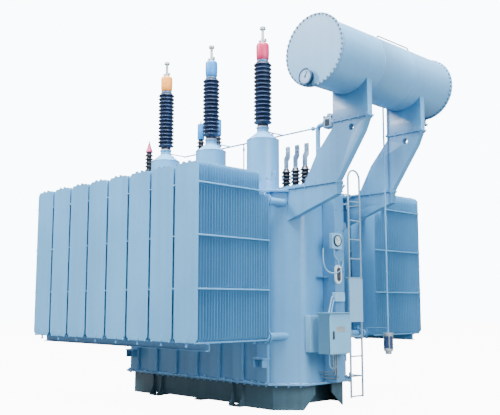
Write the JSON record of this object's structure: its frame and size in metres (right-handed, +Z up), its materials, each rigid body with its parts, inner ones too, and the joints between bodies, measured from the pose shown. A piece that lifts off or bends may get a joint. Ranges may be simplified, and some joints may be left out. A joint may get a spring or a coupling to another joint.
{
  "type": "power transformer",
  "caption": "Oil immersed power transformer with panel radiator banks, porcelain bushings, conservator, ladder and control box, standing on its base.",
  "frame": {"origin": "on the ground under the middle of the tank, at the underside of the middle cross beam", "axes": "+X along the tank towards the conservator and ladder, +Y across towards the far radiator bank, +Z up"},
  "size_m": [6.106, 5.4482, 6.397],
  "materials": {
    "base_paint": "light blue paint, dusty and shaded near the ground",
    "breather_plastic": "dark blue drying agent behind a clear wall",
    "tank_paint": "semi-gloss light blue industrial paint",
    "conduit_metal": "flexible metal conduit",
    "conservator_paint": "semi-gloss light blue paint",
    "box_paint": "pale grey-blue painted sheet steel",
    "gauge_metal": "white and grey instrument housings",
    "radiator_paint": "semi-gloss light blue paint on pressed sheet",
    "relay_metal": "painted casting",
    "blue_cap_paint": "gloss phase-marking paint",
    "red_cap_paint": "gloss phase-marking paint",
    "yellow_cap_paint": "gloss phase-marking paint",
    "porcelain": "dark blue-grey glazed porcelain",
    "ladder_steel": "pale painted tube",
    "terminal_metal": "tinned bars",
    "dark_porcelain": "black-brown glazed porcelain"
  },
  "bodies": {
    "transformer": {"base_frame": "base_paint", "bottom_flange": "base_paint", "breather": "breather_plastic", "breather_pipe": "tank_paint", "conduits": "conduit_metal", "conservator_covers": "conservator_paint", "conservator_shell": "conservator_paint", "control_box": "box_paint", "duct_instruments": "gauge_metal", "end_wall_duct": "tank_paint", "far_bottom_pipes": "tank_paint", "far_radiator_1": "radiator_paint", "far_radiator_2": "radiator_paint", "far_radiator_3": "radiator_paint", "far_radiator_4": "radiator_paint", "far_radiator_5": "radiator_paint", "far_radiator_6": "radiator_paint", "far_radiator_7": "radiator_paint", "far_radiator_8": "radiator_paint", "far_radiator_beam": "base_paint", "far_support": "tank_paint", "far_top_pipes": "tank_paint", "far_wall_stiffeners": "tank_paint", "gas_pipe": "tank_paint", "gas_relay": "relay_metal", "hv_cap_blue": "blue_cap_paint", "hv_cap_red": "red_cap_paint", "hv_cap_yellow": "yellow_cap_paint", "hv_insulator_a": "porcelain", "hv_insulator_b": "porcelain", "hv_insulator_c": "porcelain", "hv_turret_a": "tank_paint", "hv_turret_b": "tank_paint", "hv_turret_c": "tank_paint", "ladder": "ladder_steel", "low_voltage_bars": "terminal_metal", "low_voltage_insulators": "dark_porcelain", "near_bottom_pipes": "tank_paint", "near_radiator_1": "radiator_paint", "near_radiator_2": "radiator_paint", "near_radiator_3": "radiator_paint", "near_radiator_4": "radiator_paint", "near_radiator_5": "radiator_paint", "near_radiator_6": "radiator_paint", "near_radiator_7": "radiator_paint", "near_radiator_8": "radiator_paint", "near_radiator_beam": "base_paint", "near_support": "tank_paint", "near_top_pipes": "tank_paint", "near_wall_stiffeners": "tank_paint", "neutral_bushing": "dark_porcelain", "oil_gauge": "gauge_metal", "rear_bushings": "dark_porcelain", "relay_pipe": "tank_paint", "relief_valve": "tank_paint", "tank_body": "tank_paint", "tank_cover": "tank_paint", "terminal_box": "box_paint"},
    "door": {"control_box_door": "box_paint"}
  },
  "joints": [
    {"name": "door_hinge", "type": "hinge", "parent": "transformer", "child": "door", "pos_m": [2.696, 0.022, 1.18], "axis": [0, 0, 1], "range_deg": [0, 110]}
  ]
}
